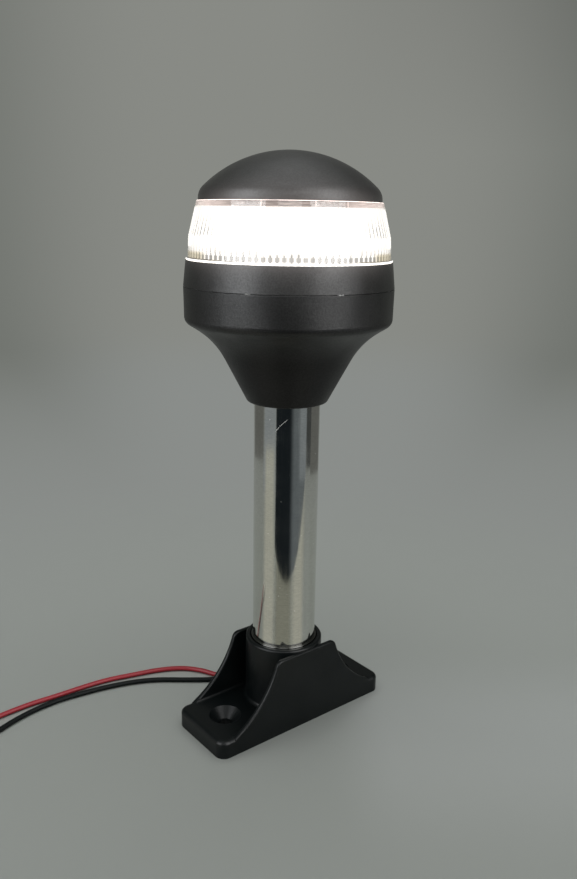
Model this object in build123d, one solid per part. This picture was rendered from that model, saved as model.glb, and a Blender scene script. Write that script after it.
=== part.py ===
from build123d import *
import os
from math import cos, pi, radians, sin, tan

# An all-round light on a short fixed pole, in millimetres. The origin is on the mounting surface under
# the pole's axis. X runs along the base, Y across it, and Z up the pole.

# Clearances
slide_gap = 0.05        # radial, between a part and the bore that it slides into
thread_gap = 0.02       # radial, between a plain shank and the bore that stands for its thread
screw_gap = 0.25        # radial, between a screw and its clearance hole
lead_gap = 0.35         # between a lead and what it passes

# Pole
pole_diameter = 25.4
pole_wall = 1.2
pole_length = 138.0

# Steel ring that locks the pole at the collar's mouth
lock_ring_wire = 0.9
lock_ring_depth = 0.2   # how far the ring sits in the pole's groove

# Base: plate, cheeks and collar
base_length = 83.6
base_width = 31.6
base_thickness = 7.2
base_corner_radius = 4.0
base_edge_radius = 1.8
base_skin = 3.0
base_rim = 2.6
rib_thickness = 2.0
cheek_height = 32.6
cheek_thickness = 2.0
cheek_top_length = 29.3
cheek_sweep_length = 66.0
cheek_sweep_radius = 40.0
cheek_toe_length = 70.4
cheek_toe_rise = 1.2
cheek_corner_radius = 3.0
cheek_edge_radius = 0.75
cheek_root_radius = 1.2
collar_wall = 2.85
collar_height = 34.0
collar_mouth_chamfer = 1.2
collar_rim_radius = 0.9
collar_root_radius = 1.4
socket_floor_height = 12.2
socket_floor_thickness = 3.0
nut_pocket_diameter = 22.0
nut_pocket_wall = 2.8

# Screw holes through the base
screw_spacing = 58.6
screw_hole_diameter = 5.5
countersink_diameter = 12.8
countersink_angle = 90.0
screw_boss_wall = 0.9

# Threaded tubes, bushes, nuts and washers at both ends of the pole
thread_diameter = 10.0
thread_bore = 7.2
bush_length = 10.0
nut_across_flats = 14.0
nut_thickness = 2.6
washer_diameter = 17.0
washer_thickness = 0.8
thread_stand_out = 0.5
grommet_length = 4.0

# Lower housing
neck_socket_depth = 18.0
neck_wall = 2.45
neck_edge_radius = 1.5
head_diameter = 77.5
housing_height = 43.0
housing_wall = 2.4
housing_draft = 0.2
shoulder_drop = 12.7
shoulder_radius = 3.2
cone_angle = 27.9       # from the pole's axis
underside_angle = 31.8  # from the horizontal
waist_radius = 30.0
head_floor_thickness = 2.4
housing_rib_count = 6
housing_rib_thickness = 1.6
seam_chamfer = 0.25

# Carrier ring
carrier_height = 9.4
carrier_taper = 1.0     # radial, from the seam up to the lens
carrier_wall = 2.5
web_thickness = 2.4
web_recess = 1.6        # from the carrier's top down to the web
seam_spigot_length = 5.4
seam_spigot_wall = 2.4
lens_spigot_height = 3.2
lens_spigot_wall = 2.3

# Lens
lens_height = 20.6
lens_flange_setback = 0.15  # radial, from the carrier's top edge
lens_flange_width = 0.65
lens_flange_thickness = 1.2
lens_foot_taper = 0.5       # radial, from the flange up to the break
lens_break_height = 6.9
lens_top_taper = 2.95       # radial, from the break up to the top
lens_wall = 2.2
lens_plain_foot = 1.8
lens_plain_top = 2.4
lens_spigot_gap = 0.45
flute_count = 96
flute_depth = 0.7

# Cap
cap_gap = 0.1
cap_setback = 0.5       # radial, from the lens's top edge
cap_spigot_gap = 0.2
cap_lip_height = 3.1
cap_crown_rise = 14.4
cap_edge_radius = 6.0
cap_wall = 2.4
cap_spigot_wall = 2.0
cap_rib_count = 6
cap_rib_thickness = 1.4
cap_boss_diameter = 12.0

# O-rings
neck_seal_wire = 1.7
neck_seal_height = 4.5
seam_seal_wire = 1.6
seam_seal_drop = 2.6
lens_seal_wire = 1.2
lens_seal_height = 1.9
cap_seal_wire = 1.2
cap_seal_drop = 1.2
seal_groove_play = 0.4

# LED unit
led_board_thickness = 1.6
tower_across_flats = 18.0
strip_width = 9.0
strip_thickness = 1.0
strip_margin = 0.4
led_size = 3.5
led_thickness = 1.4
led_rows = 2
reflector_thickness = 1.0
reflector_drop = 0.4        # from the cap's spigot down to the reflector's underside
centre_screw_diameter = 4.0
centre_screw_head_diameter = 7.0
centre_screw_head_height = 2.6
centre_screw_grip = 10.0

# Driver board and what is on it
driver_board_diameter = 52.0
driver_board_thickness = 1.6
driver_board_drop = 8.0     # below the carrier's web
board_screw_count = 3
board_screw_circle = 41.0
board_screw_diameter = 3.0
board_screw_length = 7.0
board_screw_head_diameter = 5.6
board_screw_head_height = 2.0
board_post_diameter = 6.4
header_offset = 13.0
header_width = 10.0
header_depth = 3.0
header_body_height = 3.0
header_pin_count = 4
header_pin_diameter = 0.8
inductor_diameter = 10.0
inductor_height = 5.5
capacitor_diameter = 6.3
capacitor_height = 5.4
terminal_width = 10.0
terminal_depth = 7.0
terminal_height = 5.5
terminal_offset = 17.5
terminal_screw_diameter = 2.2
terminal_screw_depth = 1.2

# Leads
lead_diameter = 2.0
lead_pitch = 2.6
lead_drop_radius = 8.0
lead_exit_radius = 3.0
lead_channel_width = 6.4
lead_channel_height = 3.0
lead_floor_height = 1.05    # centre of a lead that lies on the floor
tip_diameter = 1.1
tip_length = 7.0

# Heights up the pole, worked out from the sizes above
pole_radius = pole_diameter / 2
bore_radius = pole_radius + slide_gap
collar_radius = bore_radius + collar_wall
pole_bottom = socket_floor_height
pole_top = pole_bottom + pole_length
neck_bottom = pole_top - neck_socket_depth
head_floor_top = pole_top + head_floor_thickness
seam = neck_bottom + housing_height
carrier_top = seam + carrier_height
web_top = carrier_top - web_recess
web_bottom = web_top - web_thickness
lens_bottom = carrier_top
lens_top = lens_bottom + lens_height
cap_bottom = lens_top + cap_gap
cap_shoulder = cap_bottom + cap_lip_height
cap_top = cap_shoulder + cap_crown_rise
led_board_top = web_top + led_board_thickness
tower_top = lens_top - lens_plain_top - reflector_drop
reflector_top = tower_top + reflector_thickness
driver_board_top = web_bottom - driver_board_drop
driver_board_bottom = driver_board_top - driver_board_thickness
pocket_top = socket_floor_height - socket_floor_thickness

# Radii that one part takes from another
head_radius = head_diameter / 2
seam_spigot_radius = head_radius - housing_wall - slide_gap
carrier_top_radius = head_radius - carrier_taper
lens_flange_radius = carrier_top_radius - lens_flange_setback
lens_foot_radius = lens_flange_radius - lens_flange_width
lens_break_radius = lens_foot_radius - lens_foot_taper
lens_top_radius = lens_break_radius - lens_top_taper
lens_foot_bore = lens_foot_radius - lens_wall
lens_top_bore = lens_top_radius - lens_wall
lens_spigot_radius = lens_foot_bore - lens_spigot_gap
cap_radius = lens_top_radius - cap_setback
cap_spigot_radius = lens_top_bore - cap_spigot_gap
thread_radius = thread_diameter / 2


def disc(radius, bottom, top, hole=0.0):
    """An upright cylinder on the pole's axis, with an optional hole through it."""
    height = top - bottom
    body = Pos(0, 0, bottom) * Cylinder(radius, height, align=(Align.CENTER, Align.CENTER, Align.MIN))
    if hole:
        body -= Pos(0, 0, bottom) * Cylinder(hole, height, align=(Align.CENTER, Align.CENTER, Align.MIN))
    return body


def block(width, depth, bottom, top, x=0.0, y=0.0):
    """A box that stands between two heights."""
    return Pos(x, y, bottom) * Box(width, depth, top - bottom, align=(Align.CENTER, Align.CENTER, Align.MIN))


def lathe(points, radii=None):
    """Turn a closed outline of (radius, height) points, with a fillet radius for each point, round Z."""
    if radii is None:
        outline = Polyline(*points, close=True)
    else:
        outline = FilletPolyline(*points, radius=radii, close=True)
    return revolve(Plane.XZ * make_face(outline), axis=Axis.Z)


def o_ring(mean_radius, wire, height):
    return Pos(0, 0, height) * Torus(mean_radius, wire / 2)


def groove(inner_radius, outer_radius, width, height):
    """The ring-shaped space that is cut out for an O-ring."""
    return disc(outer_radius, height - width / 2, height + width / 2, inner_radius)


def fitted_fillet(radius, before, corner, after):
    """The given radius, or as much of it as the two legs at a corner have room for."""
    leg_in = Vector(*corner) - Vector(*before)
    leg_out = Vector(*after) - Vector(*corner)
    turn = radians(leg_in.get_angle(leg_out))
    room = 0.9 * min(leg_in.length, leg_out.length) / tan(turn / 2)
    return min(radius, room)


def meet(point_a, angle_a, point_b, angle_b):
    """Where two lines cross, each given by a point and its angle from the horizontal in degrees."""
    ax, az = point_a
    bx, bz = point_b
    slope_a, slope_b = tan(radians(angle_a)), tan(radians(angle_b))
    x = (bz - az + slope_a * ax - slope_b * bx) / (slope_a - slope_b)
    return x, az + slope_a * (x - ax)


# Base

def cheek_face():
    """The side view of one cheek: a flat top and two concave sweeps down to the toes."""
    half_top = cheek_top_length / 2
    half_sweep = cheek_sweep_length / 2
    half_toe = cheek_toe_length / 2
    sweep_foot = base_thickness + cheek_toe_rise
    root = base_thickness / 2
    toe_top = base_thickness - 0.2
    right_sweep = RadiusArc((half_top, cheek_height), (half_sweep, sweep_foot), -cheek_sweep_radius)
    left_sweep = RadiusArc((-half_sweep, sweep_foot), (-half_top, cheek_height), -cheek_sweep_radius)
    top = Line((-half_top, cheek_height), (half_top, cheek_height))
    foot = Polyline(
        (half_sweep, sweep_foot), (half_toe, toe_top), (half_toe, root),
        (-half_toe, root), (-half_toe, toe_top), (-half_sweep, sweep_foot),
    )
    face = make_face(top + right_sweep + foot + left_sweep)
    corners = face.vertices().filter_by(lambda v: abs(v.Y - cheek_height) < 0.01)
    return fillet(corners, cheek_corner_radius)


def cheek(side):
    """One cheek, flush with the long side of the plate, its free edges rounded."""
    outer = base_width / 2
    solid = extrude(Plane.XZ * cheek_face(), cheek_thickness)
    solid = Pos(0, outer if side > 0 else cheek_thickness - outer, 0) * solid
    free_edges = [
        edge
        for face in solid.faces().filter_by(Axis.Y)
        for edge in face.edges()
        if edge.center().Z > base_thickness + 0.4
    ]
    return fillet(free_edges, cheek_edge_radius)


def cheek_root():
    """The hollow moulded curve along the inner foot of a cheek, which ends on the cheek's own side view."""
    inner = base_width / 2 - cheek_thickness
    sunk = cheek_edge_radius / 2
    top = base_thickness + cheek_root_radius
    curve = RadiusArc((inner, top), (inner - cheek_root_radius, base_thickness), cheek_root_radius)
    rest = Polyline(
        (inner - cheek_root_radius, base_thickness), (inner - cheek_root_radius, base_thickness - sunk),
        (inner + sunk, base_thickness - sunk), (inner + sunk, top), (inner, top),
    )
    strip = extrude(Plane.YZ * make_face(curve + rest), cheek_toe_length / 2, both=True)
    return strip & extrude(Plane.XZ * cheek_face(), base_width, both=True)


def base_plate():
    outline = RectangleRounded(base_length, base_width, base_corner_radius)
    plate = extrude(outline, base_thickness)
    return fillet(plate.faces().sort_by(Axis.Z)[-1].edges(), base_edge_radius)


def underside_coring():
    """The hollow that is moulded into the plate from below, round the bosses and between the ribs."""
    height = base_thickness - base_skin
    inner = RectangleRounded(
        base_length - 2 * base_rim, base_width - 2 * base_rim, base_corner_radius - base_rim
    )
    hollow = extrude(inner, height)
    hollow -= disc(nut_pocket_diameter / 2 + nut_pocket_wall, 0, height)
    hollow -= block(base_length, rib_thickness, 0, height)
    for x in (-screw_spacing / 2, screw_spacing / 2):
        boss_radius = countersink_diameter / 2 + screw_boss_wall
        hollow -= Pos(x, 0, 0) * disc(boss_radius, 0, height)
        hollow -= block(rib_thickness, base_width, 0, height, x=x)
    return hollow


def screw_hole(x):
    sink_depth = (countersink_diameter - screw_hole_diameter) / 2 / tan(radians(countersink_angle / 2))
    hole = disc(screw_hole_diameter / 2, 0, base_thickness)
    sink = Pos(0, 0, base_thickness - sink_depth) * Cone(
        screw_hole_diameter / 2, countersink_diameter / 2, sink_depth,
        align=(Align.CENTER, Align.CENTER, Align.MIN),
    )
    return Pos(x, 0, 0) * (hole + sink)


def collar():
    """The sleeve round the pole, with a flared root, cut off at the plate's long sides."""
    root = base_thickness / 2
    flare = collar_radius + 2 * collar_root_radius
    sleeve = lathe(
        [
            (0, root), (flare, root), (flare, base_thickness), (collar_radius, base_thickness),
            (collar_radius, collar_height), (0, collar_height),
        ],
        [0, 0, 0, collar_root_radius, collar_rim_radius, 0],
    )
    return sleeve & block(base_length, base_width, root, collar_height)


def base_bracket():
    """The moulded base: plate, collar and cheeks in one piece, cored from below."""
    body = base_plate() + cheek(1) + cheek(-1)
    root = cheek_root()
    body += root + mirror(root, about=Plane.XZ)
    body += collar()
    body -= disc(bore_radius, socket_floor_height, collar_height)
    body -= Pos(0, 0, collar_height - collar_mouth_chamfer) * Cone(
        bore_radius, bore_radius + collar_mouth_chamfer, collar_mouth_chamfer,
        align=(Align.CENTER, Align.CENTER, Align.MIN),
    )
    body -= disc(thread_radius + screw_gap, 0, socket_floor_height)
    body -= disc(nut_pocket_diameter / 2, 0, pocket_top)
    body -= underside_coring()
    body -= block(lead_channel_width, base_width, 0, lead_channel_height, y=base_width / 2)
    for x in (-screw_spacing / 2, screw_spacing / 2):
        body -= screw_hole(x)
    return body


# Pole and the parts that hold it

lock_ring_height = collar_height - 0.15
lock_ring_mean_radius = pole_radius + lock_ring_wire / 2 - lock_ring_depth


def pole():
    tube = disc(pole_radius, pole_bottom, pole_top, pole_radius - pole_wall)
    return tube - o_ring(lock_ring_mean_radius, lock_ring_wire + 2 * slide_gap, lock_ring_height)


def pole_lock_ring():
    return o_ring(lock_ring_mean_radius, lock_ring_wire, lock_ring_height)


def bush(bottom):
    """A plug pressed into the end of the pole, with a thread for the hollow screw."""
    return disc(pole_radius - pole_wall - thread_gap, bottom, bottom + bush_length, thread_radius + thread_gap)


def threaded_tube(bottom, top):
    return disc(thread_radius, bottom, top, thread_bore / 2)


def lead_grommet(bottom):
    """A rubber plug in the end of a threaded tube, which both leads pass through."""
    plug = disc(thread_bore / 2 - thread_gap, bottom, bottom + grommet_length)
    for x in (-lead_pitch / 2, lead_pitch / 2):
        plug -= Pos(x, 0, 0) * disc(lead_diameter / 2 + slide_gap, bottom, bottom + grommet_length)
    return plug


def washer(bottom):
    return disc(washer_diameter / 2, bottom, bottom + washer_thickness, thread_radius + screw_gap)


def hex_nut(bottom):
    hexagon = RegularPolygon(nut_across_flats / 2, 6, major_radius=False)
    nut = Pos(0, 0, bottom) * extrude(hexagon, nut_thickness)
    return nut - disc(thread_radius + thread_gap, bottom, bottom + nut_thickness)


foot_washer_bottom = pocket_top - washer_thickness
foot_nut_bottom = foot_washer_bottom - nut_thickness
foot_tube_bottom = foot_nut_bottom - thread_stand_out
head_washer_bottom = head_floor_top
head_nut_bottom = head_washer_bottom + washer_thickness
head_tube_top = head_nut_bottom + nut_thickness + thread_stand_out


# Head

def bell_outline(inset):
    """The housing's outline from neck to seam, moved inwards by a wall: its points and fillet radii."""
    wall_foot = seam - shoulder_drop
    draft = 0 if inset else housing_draft
    wall_radius = head_radius - draft
    neck_radius = bore_radius + neck_wall
    cone_from_horizontal = 90 - cone_angle
    neck = (neck_radius - inset / cos(radians(cone_angle)), neck_bottom)
    underside = (wall_radius, wall_foot + inset / cos(radians(underside_angle)))
    waist = meet(neck, cone_from_horizontal, underside, underside_angle)
    shoulder = (wall_radius - inset, underside[1] - inset * tan(radians(underside_angle)))
    rim = (head_radius - inset, seam)
    waist_fillet = fitted_fillet(waist_radius + inset, neck, waist, shoulder)
    shoulder_fillet = fitted_fillet(max(shoulder_radius - inset, 0.5), waist, shoulder, rim)
    points = [(0, neck_bottom), neck, waist, shoulder, rim, (0, seam)]
    radii = [0, 0 if inset else neck_edge_radius, waist_fillet, shoulder_fillet, 0 if inset else seam_chamfer, 0]
    return points, radii


def lower_housing():
    """The bell: a thin shell on a sleeve that takes the pole's end, stiffened by ribs."""
    shell = lathe(*bell_outline(0.0))
    cavity = lathe(*bell_outline(housing_wall))
    sleeve_radius = bore_radius + neck_wall
    hollow = cavity - disc(sleeve_radius, neck_bottom, head_floor_top)
    rib = block(2 * head_radius, housing_rib_thickness, neck_bottom, head_floor_top)
    for turn in range(housing_rib_count // 2):
        hollow -= Rot(0, 0, turn * 360 / housing_rib_count) * rib
    housing = shell - hollow
    housing -= disc(bore_radius, neck_bottom, pole_top)
    housing -= disc(thread_radius + screw_gap, pole_top, head_floor_top)
    seal = neck_bottom + neck_seal_height
    return housing - groove(
        pole_radius, pole_radius + neck_seal_wire + slide_gap, neck_seal_wire + seal_groove_play, seal
    )


def carrier_ring():
    """The ring between housing and lens: outer wall, a spigot down and one up, and a web across."""
    spigot_bore = seam_spigot_radius - seam_spigot_wall
    wall_bore = seam_spigot_radius - 1.0
    step = seam + 1.5
    ring = lathe(
        [
            (0, web_bottom), (wall_bore, web_bottom), (wall_bore, step + seam_spigot_wall), (spigot_bore, step),
            (spigot_bore, seam - seam_spigot_length), (seam_spigot_radius, seam - seam_spigot_length),
            (seam_spigot_radius, seam), (head_radius, seam), (carrier_top_radius, carrier_top),
            (lens_spigot_radius, carrier_top), (lens_spigot_radius, carrier_top + lens_spigot_height),
            (lens_spigot_radius - lens_spigot_wall, carrier_top + lens_spigot_height),
            (lens_spigot_radius - lens_spigot_wall, web_top), (0, web_top),
        ],
        [0, 1.0, 0, 0, 0, 0, 0, seam_chamfer, 0.3, 0, 0.3, 0.3, 0, 0],
    )
    for x, y in board_screw_places():
        ring += Pos(x, y, 0) * disc(board_post_diameter / 2, driver_board_top, web_bottom + web_thickness / 2)
        ring -= Pos(x, y, 0) * disc(board_screw_diameter / 2 + thread_gap, driver_board_top, web_bottom)
    ring -= disc(centre_screw_diameter / 2 + screw_gap, web_bottom, web_top)
    ring -= block(header_width + 1, header_depth + 1, web_bottom, web_top, y=-header_offset)
    ring -= groove(
        seam_spigot_radius - seam_seal_wire + slide_gap, seam_spigot_radius + 1,
        seam_seal_wire + seal_groove_play, seam - seam_seal_drop,
    )
    return ring - groove(
        lens_foot_bore - lens_seal_wire - slide_gap, lens_foot_bore,
        lens_seal_wire + seal_groove_play, carrier_top + lens_seal_height,
    )


def star(radius, height):
    """A flat star with one point for each flute, which stands for a slice through the fluted bore."""
    points = []
    for tooth in range(flute_count):
        angle = 2 * pi * tooth / flute_count
        half_step = pi / flute_count
        points.append((radius * cos(angle), radius * sin(angle)))
        tip = radius + flute_depth
        points.append((tip * cos(angle + half_step), tip * sin(angle + half_step)))
    return Pos(0, 0, height) * make_face(Polyline(*points, close=True))


def lens():
    """The clear ring, a cone in two steps with a flange below and upright flutes inside."""
    break_at = lens_bottom + lens_break_height
    flange_top = lens_bottom + lens_flange_thickness
    shell = lathe(
        [
            (0, lens_bottom), (lens_flange_radius, lens_bottom), (lens_flange_radius, flange_top),
            (lens_foot_radius, flange_top), (lens_break_radius, break_at), (lens_top_radius, lens_top),
            (0, lens_top),
        ],
        [0, 0.25, 0.3, 0, 4.0, 0.4, 0],
    )
    fluted_from = lens_bottom + lens_plain_foot
    fluted_to = lens_top - lens_plain_top
    bore_at_break = lens_break_radius - lens_wall
    bore_at_top = bore_at_break + (lens_top_bore - bore_at_break) * (fluted_to - break_at) / (lens_top - break_at)
    lower_flutes = loft([star(lens_foot_bore, fluted_from), star(bore_at_break, break_at)], ruled=True)
    upper_flutes = loft([star(bore_at_break, break_at), star(bore_at_top, fluted_to)], ruled=True)
    ring = shell - lower_flutes - upper_flutes
    ring -= disc(lens_foot_bore, lens_bottom, fluted_from)
    return ring - disc(lens_top_bore, fluted_to, lens_top)


def cap_body(radius, bottom, inset):
    """The cap's outline as a solid, moved inwards by a wall."""
    crown_radius = (radius**2 + cap_crown_rise**2) / (2 * cap_crown_rise) - inset
    apex = cap_top - inset
    edge = radius - inset
    drop = crown_radius - (crown_radius**2 - edge**2) ** 0.5
    dome = ThreePointArc(
        (0, apex),
        (edge / 2, apex - crown_radius + (crown_radius**2 - edge**2 / 4) ** 0.5),
        (edge, apex - drop),
    )
    sides = Polyline((edge, apex - drop), (edge, bottom), (0, bottom), (0, apex))
    face = make_face(dome + sides)
    corner = face.vertices().sort_by_distance((edge, apex - drop))[0]
    return revolve(Plane.XZ * fillet(corner, cap_edge_radius - inset), axis=Axis.Z)


def dome_cap():
    """The domed cap: a thin shell with a spigot into the lens, ribs and a boss for the centre screw."""
    outer = cap_body(cap_radius, cap_bottom, 0.0)
    hollow = cap_body(cap_radius, cap_bottom, cap_wall)
    hollow -= disc(cap_boss_diameter / 2, cap_bottom, cap_top)
    rib = block(2 * cap_radius, cap_rib_thickness, cap_bottom + cap_wall, cap_top)
    for turn in range(cap_rib_count // 2):
        hollow -= Rot(0, 0, turn * 360 / cap_rib_count) * rib
    cap = outer - hollow
    spigot_bottom = lens_top - lens_plain_top
    spigot = disc(cap_spigot_radius, spigot_bottom, cap_bottom + cap_wall, cap_spigot_radius - cap_spigot_wall)
    spigot -= groove(
        lens_top_bore - cap_seal_wire - slide_gap, lens_top_bore,
        cap_seal_wire + seal_groove_play, lens_top - cap_seal_drop,
    )
    cap += spigot
    cap += disc(cap_boss_diameter / 2, reflector_top, cap_bottom + 1)
    return cap - disc(centre_screw_diameter / 2 + thread_gap, reflector_top, reflector_top + centre_screw_grip + 1)


# LED unit

def hexagon(across_flats, bottom, top):
    return Pos(0, 0, bottom) * extrude(RegularPolygon(across_flats / 2, 6, major_radius=False), top - bottom)


def led_tower():
    return hexagon(tower_across_flats, led_board_top, tower_top) - disc(
        centre_screw_diameter / 2 + screw_gap, led_board_top, tower_top
    )


def round_the_tower(piece):
    """Six copies of a piece that is made on the tower's first face, turned to each face."""
    return [Rot(0, 0, 30 + 60 * face) * piece for face in range(6)]


def led_strips():
    bottom, top = led_board_top + strip_margin, tower_top - strip_margin
    x = tower_across_flats / 2 + strip_thickness / 2
    return round_the_tower(block(strip_thickness, strip_width, bottom, top, x=x))


def leds():
    x = tower_across_flats / 2 + strip_thickness + led_thickness / 2
    pieces = []
    for row in range(led_rows):
        middle = led_board_top + (tower_top - led_board_top) * (row + 0.5) / led_rows
        bottom = middle - led_size / 2
        pieces += round_the_tower(block(led_thickness, led_size, bottom, bottom + led_size, x=x))
    return pieces


def centre_screw():
    head = disc(centre_screw_head_diameter / 2, web_bottom - centre_screw_head_height, web_bottom)
    shank = disc(centre_screw_diameter / 2, web_bottom, reflector_top + centre_screw_grip)
    socket = RegularPolygon(1.5, 6, major_radius=False)
    recess = extrude(Pos(0, 0, web_bottom - centre_screw_head_height) * socket, 1.6)
    return head + shank - recess


# Driver board

def board_screw_places():
    places = []
    for turn in range(board_screw_count):
        angle = radians(90 / 3 + 360 * turn / board_screw_count)
        places.append((board_screw_circle / 2 * cos(angle), board_screw_circle / 2 * sin(angle)))
    return places


def driver_board():
    board = disc(driver_board_diameter / 2, driver_board_bottom, driver_board_top)
    for x, y in board_screw_places():
        board -= Pos(x, y, 0) * disc(
            board_screw_diameter / 2 + screw_gap, driver_board_bottom, driver_board_top
        )
    return board


def board_screws():
    screws = []
    for x, y in board_screw_places():
        head_bottom = driver_board_bottom - board_screw_head_height
        screw = disc(board_screw_head_diameter / 2, head_bottom, driver_board_bottom)
        screw += disc(board_screw_diameter / 2, driver_board_bottom, driver_board_bottom + board_screw_length)
        screw -= block(3.0, 0.7, head_bottom, head_bottom + 0.9)
        screws.append(Pos(x, y, 0) * screw)
    return screws


def header():
    body = block(header_width, header_depth, driver_board_top, driver_board_top + header_body_height)
    pitch = header_width / header_pin_count
    for pin in range(header_pin_count):
        x = (pin - (header_pin_count - 1) / 2) * pitch
        body += Pos(x, 0, 0) * disc(header_pin_diameter / 2, driver_board_top + 1, web_top)
    return Pos(0, -header_offset, 0) * body


def driver_inductor():
    core = disc(inductor_diameter / 2, driver_board_top, driver_board_top + inductor_height, 2.2)
    return Pos(-10, 3, 0) * fillet(core.edges(), 0.8)


def driver_capacitors():
    can = disc(capacitor_diameter / 2, driver_board_top, driver_board_top + capacitor_height)
    can = fillet(can.edges().sort_by(Axis.Z)[-1], 0.5)
    return [Pos(9, 3, 0) * can, Pos(9, -6, 0) * can]


def driver_chips():
    controller = block(5, 4, driver_board_top, driver_board_top + 1.6, x=-2, y=10)
    diode = block(4.3, 3.6, driver_board_top, driver_board_top + 2.3, x=-12, y=-7)
    return [controller, diode]


def terminal_screws():
    bottom = driver_board_bottom - terminal_height
    screw = disc(terminal_screw_diameter / 2 - thread_gap, bottom + 0.1, bottom + terminal_screw_depth)
    screw -= block(terminal_screw_diameter, 0.4, bottom + 0.1, bottom + 0.5)
    return [Pos(x, terminal_offset, 0) * screw for x in (-lead_pitch / 2, lead_pitch / 2)]


def terminal_block():
    """The screw terminal under the board: the leads enter it from the pole's side."""
    bottom = driver_board_bottom - terminal_height
    body = block(terminal_width, terminal_depth, bottom, driver_board_bottom, y=terminal_offset)
    for x in (-lead_pitch / 2, lead_pitch / 2):
        body -= Pos(x, terminal_offset, 0) * disc(terminal_screw_diameter / 2, bottom, bottom + terminal_screw_depth)
    return body


# Leads

def tube_on(path, diameter):
    return sweep(Plane(origin=path @ 0, z_dir=path % 0) * Circle(diameter / 2), path=path)


def inner_lead(side):
    """A lead from the terminal block down the pole and out to the edge of the base."""
    terminal_face = terminal_offset - terminal_depth / 2
    height = driver_board_bottom - terminal_height / 2
    x = side * lead_pitch / 2
    path = FilletPolyline(
        (x, terminal_face, height),
        (x, 0, height),
        (x, 0, lead_floor_height),
        (x, base_width / 2, lead_floor_height),
        radius=[lead_drop_radius, lead_exit_radius],
    )
    return tube_on(path, lead_diameter)


# The free leads: hand-chosen points over the floor, from the base's far edge past the left of the view.
red_route = [
    (1.3, 15.8, 1.05), (1.3, 23.2, 1.05), (-3.6, 29.6, 1.05), (-10.1, 34.7, 1.05), (-12.8, 41.9, 1.05),
    (-19.1, 49.6, 1.05), (-29.3, 54.8, 1.05), (-40.3, 57.8, 1.05), (-51.1, 60.9, 1.05), (-62.3, 61.9, 1.05),
    (-73.3, 62.2, 1.05), (-84.6, 63.2, 1.05), (-96.7, 62.7, 1.05), (-108.3, 60.9, 1.05), (-118.7, 57.8, 1.05),
]
black_route = [
    (-1.3, 15.8, 1.05), (-1.3, 22.6, 1.05), (-6.1, 28.7, 1.05), (-14.6, 33.6, 1.05), (-24.3, 40.8, 1.05),
    (-33.5, 48.1, 1.05), (-43.3, 52.8, 1.05), (-53.6, 55.8, 1.05), (-64.3, 57.7, 1.05), (-75.3, 58.9, 1.05),
    (-86.3, 58.0, 1.05), (-96.8, 55.2, 1.05), (-107.0, 50.8, 1.05), (-116.0, 45.8, 1.05), (-122.8, 40.8, 1.05),
]
bend_share = 0.45


def bend_radii(route):
    """At each corner, 0.45 of the shorter run over the tangent of half the turn."""
    radii = []
    for before, corner, after in zip(route, route[1:], route[2:]):
        run_in = Vector(*corner) - Vector(*before)
        run_out = Vector(*after) - Vector(*corner)
        turn = radians(run_in.get_angle(run_out))
        radii.append(bend_share * min(run_in.length, run_out.length) / tan(turn / 2))
    return radii


def free_lead_path(route):
    return FilletPolyline(*route, radius=bend_radii(route))


def lead_tip(route):
    """The stripped and tinned end of a lead."""
    path = free_lead_path(route)
    end = Plane(origin=path @ 1, z_dir=path % 1)
    return extrude(end * Circle(tip_diameter / 2), tip_length)


parts = {
    "base_bracket": base_bracket(),
    "pole": pole(),
    "pole_lock_ring": pole_lock_ring(),
    "foot_bush": bush(pole_bottom),
    "foot_threaded_tube": threaded_tube(foot_tube_bottom, pole_bottom + bush_length - 1),
    "foot_grommet": lead_grommet(foot_tube_bottom),
    "foot_washer": washer(foot_washer_bottom),
    "foot_nut": hex_nut(foot_nut_bottom),
    "head_bush": bush(pole_top - bush_length),
    "head_threaded_tube": threaded_tube(pole_top - bush_length + 1, head_tube_top),
    "head_grommet": lead_grommet(head_tube_top - grommet_length),
    "head_washer": washer(head_washer_bottom),
    "head_nut": hex_nut(head_nut_bottom),
    "neck_seal": o_ring(pole_radius + slide_gap + neck_seal_wire / 2, neck_seal_wire, neck_bottom + neck_seal_height),
    "lower_housing": lower_housing(),
    "seam_seal": o_ring(
        head_radius - housing_wall - seam_seal_wire / 2, seam_seal_wire, seam - seam_seal_drop
    ),
    "carrier_ring": carrier_ring(),
    "lens_seal": o_ring(lens_foot_bore - lens_seal_wire / 2, lens_seal_wire, carrier_top + lens_seal_height),
    "lens": lens(),
    "cap_seal": o_ring(lens_top_bore - cap_seal_wire / 2, cap_seal_wire, lens_top - cap_seal_drop),
    "dome_cap": dome_cap(),
    "led_board": disc(
        lens_spigot_radius - lens_spigot_wall - 0.15, web_top, led_board_top, centre_screw_diameter / 2 + screw_gap
    ),
    "led_tower": led_tower(),
    "led_strips": led_strips(),
    "leds": leds(),
    "top_reflector": disc(
        cap_spigot_radius - cap_spigot_wall - 0.15, tower_top, reflector_top, centre_screw_diameter / 2 + screw_gap
    ),
    "centre_screw": centre_screw(),
    "driver_board": driver_board(),
    "board_screws": board_screws(),
    "board_header": header(),
    "driver_inductor": driver_inductor(),
    "driver_capacitors": driver_capacitors(),
    "driver_chips": driver_chips(),
    "terminal_block": terminal_block(),
    "terminal_screws": terminal_screws(),
    "inner_lead_red": inner_lead(1),
    "inner_lead_black": inner_lead(-1),
    "lead_red": tube_on(free_lead_path(red_route), lead_diameter),
    "lead_black": tube_on(free_lead_path(black_route), lead_diameter),
    "lead_red_tip": lead_tip(red_route),
    "lead_black_tip": lead_tip(black_route),
}

os.makedirs("parts", exist_ok=True)
for name, shape in parts.items():
    solid = Compound(children=list(shape)) if isinstance(shape, list) else shape
    export_step(solid, f"parts/{name}.step")

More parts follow.
